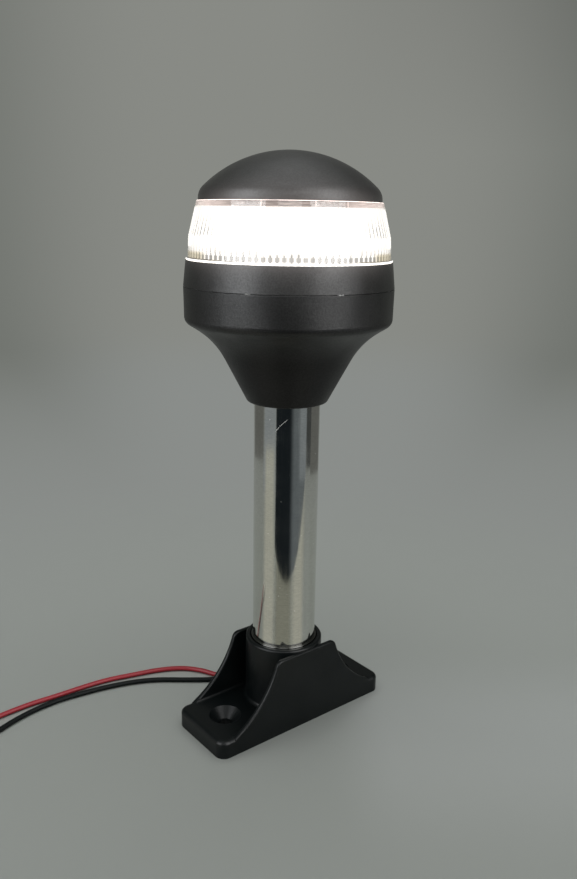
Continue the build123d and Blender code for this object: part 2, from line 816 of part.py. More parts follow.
for name, route in (("red", red_route), ("black", black_route)):
    print(name, "lead length", round(free_lead_path(route).length, 1))
    print(name, "bend radii", [round(radius, 1) for radius in bend_radii(route)])
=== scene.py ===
# %% [markdown]
# # An all-round light on a short pole, lit
#
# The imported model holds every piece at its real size: a black moulded base, a polished steel tube, a
# bell-shaped housing, a ring, a clear fluted lens and a domed cap. This script gives them their finish,
# lays the two loose leads on the floor and builds what is too fine for the model: flutes with rounded tips,
# lamp chips with their phosphor, the strands of the lead ends and the flash along the seam.

from math import cos, pi, radians, sin

import bmesh
import bpy
from mathutils import Matrix, Vector


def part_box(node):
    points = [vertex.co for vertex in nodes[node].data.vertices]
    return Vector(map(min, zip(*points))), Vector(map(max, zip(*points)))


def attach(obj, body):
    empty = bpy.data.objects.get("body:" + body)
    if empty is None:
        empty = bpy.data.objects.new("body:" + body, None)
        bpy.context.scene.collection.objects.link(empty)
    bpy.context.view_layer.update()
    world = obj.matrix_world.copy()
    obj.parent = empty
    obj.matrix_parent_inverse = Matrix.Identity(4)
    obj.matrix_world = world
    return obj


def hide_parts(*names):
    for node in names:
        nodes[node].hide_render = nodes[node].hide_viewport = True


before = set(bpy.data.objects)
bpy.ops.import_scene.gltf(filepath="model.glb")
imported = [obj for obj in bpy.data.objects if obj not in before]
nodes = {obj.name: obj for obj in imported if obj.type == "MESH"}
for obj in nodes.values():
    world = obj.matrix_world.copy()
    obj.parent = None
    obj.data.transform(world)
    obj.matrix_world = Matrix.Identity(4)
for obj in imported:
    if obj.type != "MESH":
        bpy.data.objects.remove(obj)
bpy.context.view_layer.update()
MM = 0.001
scene = bpy.context.scene
scene.view_settings.view_transform = "Standard"

# %% [markdown]
# ## The camera
#
# The photograph was taken from about the lens's height, looking 15 degrees down at the pole. The camera's
# place and its three turns were worked out from straight edges and circles, and its lens follows from the
# focal length in pixels and the picture's width.

# %% Place the camera
PHOTO_WIDTH = 577
FOCAL_PIXELS = 819.2
SENSOR_WIDTH = 36.0
CAMERA_PLACE = Vector((-191.39, -239.25, 199.60)) * MM
CAMERA_HEADING = radians(-38.80)
CAMERA_TILT = radians(15.138)
CAMERA_ROLL = radians(0.915)
CAMERA_BEARING = radians(-128.66)


def add_camera():
    data = bpy.data.cameras.new("photo_camera")
    data.sensor_fit = "HORIZONTAL"
    data.sensor_width = SENSOR_WIDTH
    data.lens = FOCAL_PIXELS / PHOTO_WIDTH * SENSOR_WIDTH
    data.clip_start = 0.01
    camera = bpy.data.objects.new("photo_camera", data)
    turn = (
        Matrix.Rotation(CAMERA_HEADING, 4, "Z")
        @ Matrix.Rotation(pi / 2 - CAMERA_TILT, 4, "X")
        @ Matrix.Rotation(CAMERA_ROLL, 4, "Z")
    )
    camera.matrix_world = Matrix.Translation(CAMERA_PLACE) @ turn
    scene.collection.objects.link(camera)
    scene.camera = camera
    return camera


camera = add_camera()
print("camera focal length, mm:", round(camera.data.lens, 2))

# %% [markdown]
# ## The two loose leads
#
# A lead is a soft copper cable 2 mm thick that leaves the base by a channel on its far side and lies on the
# floor. A NURBS curve suits it: the same few points that route the lead in the model pull one smooth line,
# and a round bevel gives it its thickness. The order is set after the points, because a new spline forgets
# it otherwise.

# %% Lay the leads
LEAD_DIAMETER = 2.0 * MM
LEAD_LEVEL = 1.05
RED_ROUTE = [(x, y, LEAD_LEVEL) for x, y in (
    (1.3, 15.8), (1.3, 23.2), (-3.6, 29.6), (-10.1, 34.7), (-12.8, 41.9),
    (-19.1, 49.6), (-29.3, 54.8), (-40.3, 57.8), (-51.1, 60.9), (-62.3, 61.9),
    (-73.3, 62.2), (-84.6, 63.2), (-96.7, 62.7), (-108.3, 60.9), (-118.7, 57.8),
)]
BLACK_ROUTE = [(x, y, LEAD_LEVEL) for x, y in (
    (-1.3, 15.8), (-1.3, 22.6), (-6.1, 28.7), (-14.6, 33.6), (-24.3, 40.8),
    (-33.5, 48.1), (-43.3, 52.8), (-53.6, 55.8), (-64.3, 57.7), (-75.3, 58.9),
    (-86.3, 58.0), (-96.8, 55.2), (-107.0, 50.8), (-116.0, 45.8), (-122.8, 40.8),
)]


def lay_lead(name, route):
    data = bpy.data.curves.new(name, "CURVE")
    data.dimensions = "3D"
    data.resolution_u = 12
    data.bevel_depth = LEAD_DIAMETER / 2
    data.bevel_resolution = 6
    data.use_fill_caps = True
    spline = data.splines.new("NURBS")
    spline.points.add(len(route) - 1)
    for point, place in zip(spline.points, route):
        point.co = (*(Vector(place) * MM), 1.0)
    spline.order_u = 3
    spline.use_endpoint_u = True
    lead = bpy.data.objects.new(name, data)
    scene.collection.objects.link(lead)
    return lead


red_lead = lay_lead("red_lead", RED_ROUTE)
black_lead = lay_lead("black_lead", BLACK_ROUTE)
print("leads laid:", red_lead.name, black_lead.name)

# %% [markdown]
# ## Small helpers for node trees
#
# A material and a Geometry Nodes group are both trees of nodes. One helper fills a node's inputs: a plain
# value is set on the socket itself, and another node's output is linked to it. A constant that stands on
# the shader's own socket, not in a Value node, is kept in an exported model.

# %% Define the node helpers
def fill(tree, node, inputs):
    for key, value in inputs.items():
        if isinstance(value, bpy.types.NodeSocket):
            tree.links.new(value, node.inputs[key])
        else:
            node.inputs[key].default_value = value


def put(tree, kind, inputs=None, **settings):
    """Add a node, set its properties, and fill or link its inputs."""
    node = tree.nodes.new(kind)
    for key, value in settings.items():
        setattr(node, key, value)
    fill(tree, node, inputs or {})
    return node


def get(tree, kind, inputs=None, **settings):
    """Add a node as put does and return its first output."""
    return put(tree, kind, inputs, **settings).outputs[0]


def maths(tree, operation, *values):
    return get(tree, "ShaderNodeMath", dict(enumerate(values)), operation=operation)


def product(tree, first, *others):
    for value in others:
        first = maths(tree, "MULTIPLY", first, value)
    return first


def split(tree, vector):
    """The x, y and z of a vector."""
    return put(tree, "ShaderNodeSeparateXYZ", {0: vector}).outputs


def blend_colours(tree, factor, *colours):
    first, last = (c if isinstance(c, bpy.types.NodeSocket) else (*c, 1.0) for c in colours)
    return put(tree, "ShaderNodeMix", {0: factor, 6: first, 7: last}, data_type="RGBA").outputs[2]


def ramp(tree, value, low, high, to_low=0.0, to_high=1.0, smooth=True):
    """Carry a value from one range to another, with soft ends."""
    ranges = {"Value": value, "From Min": low, "From Max": high, "To Min": to_low, "To Max": to_high}
    kind = "SMOOTHSTEP" if smooth else "LINEAR"
    return get(tree, "ShaderNodeMapRange", ranges, interpolation_type=kind)


def bearing_past(tree, x, y, bearing):
    """The angle round the pole, past a bearing in degrees from the camera, between -pi and pi."""
    turn = maths(tree, "SUBTRACT", maths(tree, "ARCTAN2", y, x), CAMERA_BEARING + radians(bearing))
    return maths(tree, "WRAP", turn, pi, -pi)


def within(tree, value, inside, outside):
    """1 up to the inside value, then a soft fall to 0 at the outside value."""
    return ramp(tree, value, inside, outside, 1.0, 0.0)


def new_finish(name):
    """A material with its tree, its main shader and the piece's own coordinates."""
    material = bpy.data.materials.new(name)
    material.use_nodes = True
    tree = material.node_tree
    place = put(tree, "ShaderNodeTexCoord").outputs["Object"]
    return material, tree, tree.nodes["Principled BSDF"], place


def speckle(tree, place, size, detail=2.0, stretch=(1.0, 1.0, 1.0)):
    """Noise whose lumps are about the given size in metres, and a stretch for each axis."""
    scale = tuple(1 / (size * axis) for axis in stretch)
    spot = get(tree, "ShaderNodeMapping", {"Vector": place, "Scale": scale})
    return get(tree, "ShaderNodeTexNoise", {"Vector": spot, "Scale": 1.0, "Detail": detail})


def roughen(tree, shader, height, depth):
    """Turn a height between 0 and 1 into bumps of the given depth in metres."""
    bump = get(tree, "ShaderNodeBump", {"Height": height, "Distance": depth, "Strength": 1.0})
    fill(tree, shader, {"Normal": bump})


def dress(material, *names):
    """Give CAD nodes their finish, in place of the plain one that they came with."""
    for name in names:
        data = nodes[name].data
        data.materials.clear()
        data.materials.append(material)


print("helpers ready")

# %% [markdown]
# ## Moulded black plastic
#
# Cap, ring and bell have a spark-eroded texture: a fine even grain that spreads every reflection, so the
# black looks grey wherever it faces a light. Two sizes of noise make that grain, and a third, much larger,
# lets the roughness drift. Two things depend on height: a painted glow on ring and cap stands in for the
# lamp light that the lit lens spills on its neighbours, dying away within a few millimetres, and the bell
# reflects less below its shoulder. The base is nylon with a smoother, duller skin: the same recipe with
# other values, and dullest on its top faces.

# %% Make the black plastics
def moulded(
    name, dark, light, roughness, grain, depth, gloss=0.5, spill=None, dull_below=None, dull_tops=False
):
    """Moulded plastic. A painted glow may stand in for lamp light that spills on it, and it may reflect
    less below a height or on top.
    """
    material, tree, shader, place = new_finish(name)
    fine = speckle(tree, place, grain)
    coarse = speckle(tree, place, grain * 2.7)
    drift = speckle(tree, place, 12 * MM, detail=3.0)
    rough = ramp(tree, drift, 0.3, 0.7, roughness - ROUGHNESS_DRIFT, roughness + ROUGHNESS_DRIFT)
    fill(tree, shader, {"Base Color": blend_colours(tree, drift, dark, light), "Roughness": rough})
    level = gloss
    roughen(tree, shader, maths(tree, "ADD", fine, coarse), depth)
    height = split(tree, place)["Z"]
    if dull_tops:
        upward = split(tree, put(tree, "ShaderNodeNewGeometry").outputs["True Normal"])["Z"]
        level = ramp(tree, upward, 0.45, 0.90, gloss, DULL_SHARE * gloss)
    if dull_below is not None:
        level = ramp(tree, height, dull_below - DULL_REACH, dull_below, DULL_SHARE * gloss, gloss)
        level = product(tree, level, ramp(tree, coarse, 0.35, 0.65, 0.86, 1.14))
    # Painted glow: emission on the plastic stands in for lamp light spilled from the lens, fading with
    # height and towards the outline
    if spill is not None:
        start, reach, strength = spill
        away = maths(tree, "ABSOLUTE", maths(tree, "SUBTRACT", height, start))
        faded = maths(tree, "EXPONENT", maths(tree, "DIVIDE", away, -reach))
        facing = put(tree, "ShaderNodeLayerWeight", {"Blend": 0.5}).outputs["Facing"]
        faded = product(tree, faded, ramp(tree, facing, 0.2, 0.7, strength, 0.3 * strength))
        fill(tree, shader, {"Emission Color": PAINTED_GLOW_COLOUR, "Emission Strength": faded})
    fill(tree, shader, {"Specular IOR Level": level})
    return material


DULL_REACH, DULL_SHARE = 9.0 * MM, 0.5
ROUGHNESS_DRIFT = 0.05
PAINTED_GLOW_COLOUR = (1.0, 0.90, 0.86, 1.0)
BELL_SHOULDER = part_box("carrier_ring")[0].z - 11 * MM
HEAD_LOOK = ((0.0025, 0.0025, 0.0026), (0.0050, 0.0047, 0.0046), 0.40, 0.22 * MM, 0.030 * MM)
BASE_LOOK = ((0.0008, 0.0014, 0.0015), (0.0020, 0.0029, 0.0030), 0.36, 0.35 * MM, 0.012 * MM)
ring_painted_glow = (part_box("lens")[0].z, 2.6 * MM, 0.090)
cap_painted_glow = (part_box("lens")[1].z, 4.6 * MM, 0.105)
head_plastic = moulded("grained_black", *HEAD_LOOK, dull_below=BELL_SHOULDER)
ring_plastic = moulded("grained_black_painted_glow_below_lens", *HEAD_LOOK, spill=ring_painted_glow, dull_below=BELL_SHOULDER)
cap_plastic = moulded("grained_black_painted_glow_above_lens", *HEAD_LOOK, spill=cap_painted_glow, dull_below=BELL_SHOULDER)
base_plastic = moulded("satin_nylon", *BASE_LOOK, gloss=0.26, dull_tops=True)
dress(head_plastic, "lower_housing")
dress(ring_plastic, "carrier_ring")
dress(cap_plastic, "dome_cap")
dress(base_plastic, "base_bracket")
print("black plastics on cap, ring, bell and base")

# %% [markdown]
# ## Polished steel tube
#
# The tube is polished along its length, so its scratches are long and nearly upright. Noise stretched along
# it draws them, as faint bumps and as a change in roughness, and a finer ripple greys the steel in streaks.
# On top lie one bowed scuff, drawn from the distance to a curve on the tube, and a few pale specks in the
# cells of a Voronoi pattern.

# %% Make the metals
TUBE_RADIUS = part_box("pole")[1].x
SCUFF = (-20, 122.1 * MM, 5.3 * MM, 6.0 * MM, 0.13 * MM)
SCUFF_BOW = 0.7
SPECKS = (2.4 * MM, 0.16 * MM, 0.3)
SCRATCH_COLOUR, RIPPLE_COLOUR = (0.95, 0.95, 0.92), (0.30, 0.30, 0.29)
DARK_SHARE = 0.86


def scuff(tree, place, bearing, height, run, rise, width):
    """1 on a short bowed scratch on the tube that starts at a bearing and height, else 0."""
    x, y, z = split(tree, place)
    along = product(tree, bearing_past(tree, x, y, bearing), TUBE_RADIUS / run)
    line = product(tree, maths(tree, "POWER", maths(tree, "ABSOLUTE", along), SCUFF_BOW), rise)
    off = maths(tree, "ABSOLUTE", maths(tree, "SUBTRACT", maths(tree, "SUBTRACT", z, height), line))
    ends = product(tree, ramp(tree, along, 0.0, 0.08), within(tree, along, 0.8, 1.0))
    return product(tree, within(tree, off, 0.3 * width, width), ends)


def specks(tree, place, spacing, size, share):
    """1 on small dots, one in each of a share of the cells of that spacing."""
    cells = put(tree, "ShaderNodeTexVoronoi", {"Vector": place, "Scale": 1 / spacing}).outputs
    red = put(tree, "ShaderNodeSeparateColor", {"Color": cells["Color"]}).outputs["Red"]
    dot = within(tree, cells["Distance"], 0.5 * size / spacing, size / spacing)
    return product(tree, dot, maths(tree, "LESS_THAN", red, share))


def metal(name, colour, roughness, grain, stretch, depth, polished=False):
    material, tree, shader, place = new_finish(name)
    lines = speckle(tree, place, grain, detail=4.0, stretch=stretch)
    smudge = speckle(tree, place, 9 * MM, detail=3.0)
    tone = blend_colours(tree, smudge, tuple(DARK_SHARE * level for level in colour), colour)
    scratches, dull = ramp(tree, lines, 0.35, 0.75, 0.0, 0.06), ramp(tree, smudge, 0.4, 0.7, 0.0, 0.04)
    wear = maths(tree, "ADD", scratches, dull)
    if polished:
        ripple = speckle(tree, place, 0.40 * MM, detail=3.0, stretch=(4.0, 4.0, 1.0))
        tone = blend_colours(tree, ramp(tree, ripple, 0.35, 0.65, 0.16, 0.0), tone, RIPPLE_COLOUR)
        scratch = maths(tree, "MAXIMUM", scuff(tree, place, *SCUFF), specks(tree, place, *SPECKS))
        tone = blend_colours(tree, product(tree, scratch, 0.6), tone, SCRATCH_COLOUR)
        wear = maths(tree, "MULTIPLY_ADD", scratch, 0.45, wear)
    wear = maths(tree, "ADD", wear, roughness)
    fill(tree, shader, {"Base Color": tone, "Metallic": 1.0, "Roughness": wear})
    roughen(tree, shader, lines, depth)
    return material


EVEN, LONG_DRAWN, DRAWN, TURNED = (1.0, 1.0, 1.0), (1.0, 1.0, 60.0), (1.0, 1.0, 40.0), (30.0, 30.0, 1.0)
# colour, roughness, grain, stretch of the grain and its depth
METALS = {
    "polished_steel": ((0.78, 0.78, 0.73), 0.06, 0.25 * MM, LONG_DRAWN, 0.0015 * MM),
    "plain_steel": ((0.58, 0.58, 0.57), 0.25, 0.2 * MM, EVEN, 0.004 * MM),
    # The lock ring's steel is painted dark: its colour is painted shade and a painted dark reflection of
    # the collar round it
    "shadowed_steel": ((0.09, 0.09, 0.086), 0.10, 0.2 * MM, EVEN, 0.004 * MM),
    "turned_brass": ((0.72, 0.52, 0.24), 0.22, 0.12 * MM, TURNED, 0.004 * MM),
    "tinned_wire": ((0.70, 0.69, 0.66), 0.28, 0.1 * MM, EVEN, 0.006 * MM),
    "drawn_aluminium": ((0.78, 0.78, 0.77), 0.30, 0.15 * MM, DRAWN, 0.004 * MM),
}
metals = {name: metal(name, *look, polished=name == "polished_steel") for name, look in METALS.items()}
small_steel = ("foot_washer", "head_washer", "centre_screw", "board_screws", "terminal_screws")
dress(metals["polished_steel"], "pole")
dress(metals["shadowed_steel"], "pole_lock_ring")
dress(metals["plain_steel"], *small_steel)
dress(metals["turned_brass"], "foot_threaded_tube", "foot_nut", "head_threaded_tube", "head_nut")
dress(metals["drawn_aluminium"], "led_tower", "driver_capacitors")
print("metals:", ", ".join(metals))

# %% [markdown]
# ## Rubber, boards and lead insulation
#
# These pieces are small or inside, but each still has its own finish: dull O-rings and grommets, smooth
# green and white boards, natural nylon bushes, and PVC with a faint grain on the leads.

# %% Make the remaining plain finishes
# dark and light colour, roughness, grain, its depth and, where it isn't 0.5, gloss
PLAIN_LOOKS = {
    "seal_rubber": ((0.012, 0.012, 0.012), (0.020, 0.020, 0.020), 0.62, 0.15 * MM, 0.010 * MM),
    "natural_nylon": ((0.62, 0.61, 0.56), (0.70, 0.69, 0.64), 0.42, 0.30 * MM, 0.010 * MM),
    "white_board": ((0.80, 0.80, 0.78), (0.88, 0.88, 0.86), 0.30, 0.20 * MM, 0.004 * MM),
    "green_board": ((0.010, 0.085, 0.035), (0.016, 0.120, 0.050), 0.28, 0.25 * MM, 0.006 * MM),
    "black_epoxy": ((0.014, 0.014, 0.015), (0.024, 0.024, 0.025), 0.48, 0.12 * MM, 0.006 * MM),
    "green_terminal": ((0.012, 0.140, 0.050), (0.018, 0.180, 0.065), 0.40, 0.20 * MM, 0.008 * MM),
    "red_insulation": ((0.150, 0.007, 0.012), (0.200, 0.011, 0.017), 0.42, 0.40 * MM, 0.010 * MM, 0.32),
    "black_insulation": ((0.002, 0.003, 0.003), (0.004, 0.005, 0.005), 0.45, 0.40 * MM, 0.010 * MM, 0.10),
}
plain = {name: moulded(name, *look) for name, look in PLAIN_LOOKS.items()}
seals = ("foot_grommet", "head_grommet", "neck_seal", "seam_seal", "lens_seal", "cap_seal")
dress(plain["seal_rubber"], *seals)
dress(plain["natural_nylon"], "foot_bush", "head_bush")
dress(plain["white_board"], "led_board", "led_strips", "top_reflector")
dress(plain["green_board"], "driver_board")
dress(plain["black_epoxy"], "board_header", "driver_chips", "driver_inductor")
dress(plain["green_terminal"], "terminal_block")
dress(plain["red_insulation"], "inner_lead_red")
dress(plain["black_insulation"], "inner_lead_black")
red_lead.data.materials.append(plain["red_insulation"])
black_lead.data.materials.append(plain["black_insulation"])
print("plain finishes:", ", ".join(plain))

# %% [markdown]
# ## The fluted lens
#
# The lens is a clear ring with upright flutes inside, which spread the lamp's light sideways. Its whole
# shape follows one rule: a profile turned round the pole, with a wave added to its inner wall. The profile
# comes first, as loose points: a thin flange at the foot, a nearly upright skirt up to a slight break, and
# a tapered wall above it.

# %% Draw the lens profile
LENS_FOOT, LENS_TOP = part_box("lens")[0].z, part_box("lens")[1].z
LENS_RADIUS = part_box("lens")[1].x
LENS_WALL = 2.2 * MM
FLANGE_WIDTH, FLANGE_THICKNESS = 0.65 * MM, 0.85 * MM
BREAK_HEIGHT, FOOT_TAPER, TOP_TAPER = 8.8 * MM, 0.45 * MM, 2.9 * MM
PLAIN_FOOT, PLAIN_TOP = 2.9 * MM, 2.4 * MM
DASH_FOOT, DASH_TOP = LENS_FOOT + 0.7 * MM, LENS_FOOT + 2.4 * MM
MARK_BEARINGS, MARK_WIDTH = (-17, 15, 36), 0.009
FLUTE_COUNT, FLUTE_STEPS, FLUTE_DEPTH = 96, 8, 0.35 * MM


def lens_profile():
    """Points (radius, height, share of the flute's depth), up the outside and down the inside."""
    foot = LENS_RADIUS - FLANGE_WIDTH
    waist = foot - FOOT_TAPER
    top = waist - TOP_TAPER
    soft = 0.25 * MM
    flange, break_height = LENS_FOOT + FLANGE_THICKNESS, LENS_FOOT + BREAK_HEIGHT
    inner_foot, inner_top = foot - LENS_WALL, top - LENS_WALL
    flute_top, flute_foot = LENS_TOP - PLAIN_TOP, LENS_FOOT + PLAIN_FOOT
    outside = [
        (LENS_RADIUS - soft, LENS_FOOT, 0), (LENS_RADIUS, LENS_FOOT + soft, 0),
        (LENS_RADIUS, flange - soft, 0), (LENS_RADIUS - soft, flange, 0),
        (foot + soft, flange, 0), (foot, flange + soft, 0),
        (waist + 0.04 * MM, break_height - soft, 0), (waist - 0.08 * MM, break_height + soft, 0),
        (top + 0.06 * MM, LENS_TOP - soft, 0), (top - soft, LENS_TOP, 0),
    ]
    inside = [
        (inner_top, LENS_TOP, 0), (inner_top, flute_top + soft, 0),
        (inner_top + 0.02 * MM, flute_top, 0.15), (inner_top + 0.1 * MM, flute_top - soft, 1),
        (waist - LENS_WALL, break_height, 1), (inner_foot, flute_foot + soft, 1),
        (inner_foot, flute_foot, 0.15), (inner_foot, flute_foot - soft, 0), (inner_foot, LENS_FOOT, 0),
    ]
    return outside, inside


def profile_object(name, points):
    """A mesh of loose points, with each point's third value as an attribute."""
    mesh = bpy.data.meshes.new(name)
    mesh.from_pydata([(radius, 0, height) for radius, height, share in points], [], [])
    share = mesh.attributes.new("flute_share", "FLOAT", "POINT")
    share.data.foreach_set("value", [point[2] for point in points])
    piece = bpy.data.objects.new(name, mesh)
    scene.collection.objects.link(piece)
    return piece


outside_points, inside_points = lens_profile()
print("profile points:", len(outside_points) + len(inside_points))

# %% [markdown]
# ## Helpers for Geometry Nodes
#
# Every group has named inputs for its sizes, then its own nodes, and at the end its instances made real and
# its material set. A modifier's result exists only while Blender evaluates the piece, so the result is
# copied out as a plain mesh and the modifier goes.

# %% Define the Geometry Nodes helpers
def new_group(name, **inputs):
    """A node group with a geometry input and output, and named inputs for its sizes."""
    group = bpy.data.node_groups.new(name, "GeometryNodeTree")
    group.interface.new_socket("Geometry", in_out="INPUT", socket_type="NodeSocketGeometry")
    for key, kind in inputs.items():
        group.interface.new_socket(key, in_out="INPUT", socket_type=f"NodeSocket{kind}")
    group.interface.new_socket("Geometry", in_out="OUTPUT", socket_type="NodeSocketGeometry")
    return group, put(group, "NodeGroupInput").outputs, put(group, "NodeGroupOutput")


def finish_group(group, geometry, material, end, chosen=None, second=None):
    """End the tree in Realize Instances and Set Material, with a second material on the chosen faces."""
    real = get(group, "GeometryNodeRealizeInstances", {"Geometry": geometry})
    coated = get(group, "GeometryNodeSetMaterial", {"Geometry": real, "Material": material})
    if chosen is not None:
        coat = {"Geometry": coated, "Selection": chosen, "Material": second}
        coated = get(group, "GeometryNodeSetMaterial", coat)
    group.links.new(coated, end.inputs[0])


def polar(group, reach, turn, height):
    """The place at a distance from the pole's axis, an angle and a height."""
    x = product(group, reach, maths(group, "COSINE", turn))
    y = product(group, reach, maths(group, "SINE", turn))
    return get(group, "ShaderNodeCombineXYZ", {"X": x, "Y": y, "Z": height})


def set_round(group, points, instance, turn):
    """A copy on each point, turned about the upright axis."""
    heading = get(group, "ShaderNodeCombineXYZ", {"Z": turn})
    copies = {"Points": points, "Instance": instance, "Rotation": heading}
    return get(group, "GeometryNodeInstanceOnPoints", copies)


def circle(group, resolution, radius):
    sizes = {"Resolution": resolution, "Radius": radius}
    return get(group, "GeometryNodeCurvePrimitiveCircle", sizes, mode="RADIUS")


def join(group, *parts):
    both = put(group, "GeometryNodeJoinGeometry")
    for part in parts:
        group.links.new(part, both.inputs[0])
    return both.outputs[0]


def named(group, name, kind):
    return get(group, "GeometryNodeInputNamedAttribute", {"Name": name}, data_type=kind)


def store(group, geometry, name, value, kind, domain):
    """Keep a value on the points or faces under a name."""
    kept = {"Geometry": geometry, "Name": name, "Value": value}
    return get(group, "GeometryNodeStoreNamedAttribute", kept, data_type=kind, domain=domain)


def grow(piece, group, **values):
    """Run a node group on a piece and keep the result as its plain mesh."""
    modifier = piece.modifiers.new(group.name, "NODES")
    modifier.node_group = group
    for socket in group.interface.items_tree:
        if socket.in_out == "INPUT" and socket.name in values:
            modifier[socket.identifier] = values[socket.name]
    evaluated = piece.evaluated_get(bpy.context.evaluated_depsgraph_get())
    mesh = bpy.data.meshes.new_from_object(evaluated)
    piece.modifiers.clear()
    piece.data = mesh
    mesh.name = piece.name
    return piece


LENS_SHARP, TIP_SHARP, FLASH_SHARP = 35, 50, 60


def close_mesh(piece, sharp_angle):
    """Merge doubled points, turn the faces outwards and keep only the real edges sharp."""
    work = bmesh.new()
    work.from_mesh(piece.data)
    bmesh.ops.remove_doubles(work, verts=work.verts, dist=1e-6)
    bmesh.ops.recalc_face_normals(work, faces=work.faces)
    work.to_mesh(piece.data)
    work.free()
    piece.data.shade_smooth()
    piece.data.set_sharp_from_angle(angle=radians(sharp_angle))
    return len(piece.data.polygons)


print("group helpers ready")

# %% [markdown]
# ## Turning the lens
#
# A grid gets one column for each step round the ring and one row for each profile point. Each grid point
# looks up its profile point by its index, and its angle comes from its column. The wave is a cosine of that
# angle, and the attribute inner_wall tells the finish which side a point is on.

# %% Turn the lens from its profile
def sample_row(group, mesh, value, row, kind):
    """A value of the profile mesh, looked up by its point's index."""
    node = put(
        group, "GeometryNodeSampleIndex", {"Geometry": mesh, "Value": value, "Index": row}, data_type=kind
    )
    return next(socket for socket in node.outputs if socket.enabled)


def fluted_ring_group():
    group, given, end = new_group(
        "fluted_ring", Flutes="Int", Steps="Int", Depth="Float", Outside="Int", Material="Material"
    )
    profile = given["Geometry"]
    size = put(group, "GeometryNodeAttributeDomainSize", {"Geometry": profile}).outputs["Point Count"]
    rows = maths(group, "ADD", size, 1.0)
    columns = product(group, given["Flutes"], given["Steps"])
    counts = {"Vertices X": maths(group, "ADD", columns, 1.0), "Vertices Y": rows}
    grid = put(group, "GeometryNodeMeshGrid", counts).outputs["Mesh"]
    index = get(group, "GeometryNodeInputIndex")
    row = maths(group, "MODULO", maths(group, "MODULO", index, rows), size)
    column = maths(group, "FLOOR", maths(group, "DIVIDE", index, rows))
    turn = product(group, maths(group, "DIVIDE", column, columns), 2 * pi)
    place = sample_row(group, profile, get(group, "GeometryNodeInputPosition"), row, "FLOAT_VECTOR")
    share = sample_row(group, profile, named(group, "flute_share", "FLOAT"), row, "FLOAT")
    radius, _, height = split(group, place)
    wave = maths(group, "COSINE", product(group, turn, given["Flutes"]))
    groove = product(group, maths(group, "MULTIPLY_ADD", wave, 0.5, 0.5), given["Depth"])
    reach = maths(group, "ADD", radius, product(group, groove, share))
    spot = polar(group, reach, turn, height)
    placed = get(group, "GeometryNodeSetPosition", {"Geometry": grid, "Position": spot})
    inner = maths(group, "GREATER_THAN", row, maths(group, "SUBTRACT", given["Outside"], 0.5))
    marked = store(group, placed, "inner_wall", inner, "FLOAT", "POINT")
    finish_group(group, marked, given["Material"], end)
    return group


print("fluted ring group defined")

# %% [markdown]
# ## The lit lens finish
#
# Lit, the lens is far brighter than the room: its flutes catch the lamp and glow almost white, while the
# plain band at its top lets only some of that light through. The finish is clear plastic with a painted
# glow whose strength follows height and the flutes' angle, in the piece's own coordinates, and its inner
# wall is painted dark to light passing through it at the dashes, lines and band: painted shade.

# %% Make the lit lens
def marks_at(tree, x, y, bearings, width):
    """1 within a thin upright mark at each bearing from the camera, else 0."""
    total = 0.0
    for bearing in bearings:
        apart = maths(tree, "ABSOLUTE", bearing_past(tree, x, y, bearing))
        total = maths(tree, "MAXIMUM", within(tree, apart, 0.4 * width, width), total)
    return total


def over_height(tree, height, base, low, high, to_low=0.0, to_high=1.0):
    """A ramp between two heights, counted in millimetres from a base."""
    return ramp(tree, height, base + low * MM, base + high * MM, to_low, to_high)


def lens_dashes(tree, height, crest):
    """1 on the row of short dashes at the flutes' feet, painted shade of the dark spigot behind, else 0."""
    start = over_height(tree, height, DASH_FOOT, -0.1, 0.1)
    stop = over_height(tree, height, DASH_TOP, -0.1, 0.1, 1.0, 0.0)
    return product(tree, ramp(tree, crest, 0.22, 0.34), start, stop)


def lens_lines(tree, height, crest, side, streaks):
    """Lines of dimmer painted glow that run up the flutes: short and patchy at the middle, longer towards
    the sides.
    """
    patchy = maths(tree, "MAXIMUM", ramp(tree, streaks, 0.38, 0.56), ramp(tree, side, 0.11, 0.18, 0.0, 0.6))
    short = product(tree, over_height(tree, height, DASH_TOP, 0.3, 4.2, 0.8, 0.0), patchy)
    long = product(
        tree, ramp(tree, side, 0.13, 0.22), ramp(tree, streaks, 0.3, 0.6, 0.35, 1.0),
        ramp(tree, height, LENS_FOOT + 10 * MM, LENS_TOP - 4 * MM, 1.0, 0.15),
        over_height(tree, height, LENS_FOOT, 7.8, 9.0),
    )
    return product(tree, ramp(tree, crest, 0.62, 0.97), maths(tree, "MAXIMUM", short, long))


def lens_edges(tree, height, side, inner, in_band, strands, ray_depth):
    """Painted glow of the flange and the top edge, and a painted highlight on the rims at both sides, for
    the camera's own rays only.
    """
    flange = over_height(tree, height, LENS_FOOT + FLANGE_THICKNESS, -0.2, 0.0, FLANGE_GLOW, 0.0)
    top_edge = over_height(tree, height, LENS_TOP, -0.28, -0.12, 0.0, TOP_EDGE_GLOW)
    edges = maths(tree, "MULTIPLY_ADD", top_edge, ramp(tree, strands, 0.3, 0.5, 0.4, 1.0), flange)
    upright = product(
        tree, over_height(tree, height, DASH_TOP, 2, 3), maths(tree, "SUBTRACT", 1.0, in_band)
    )
    rim = product(tree, ramp(tree, side, 0.66, 0.90, 0.0, RIM_GLOW), maths(tree, "SUBTRACT", 1.0, inner))
    edges = maths(tree, "MULTIPLY_ADD", rim, upright, edges)
    return product(tree, edges, maths(tree, "LESS_THAN", ray_depth, 0.5))


def mix_values(tree, factor, first, second):
    return get(tree, "ShaderNodeMix", {0: factor, 2: first, 3: second})


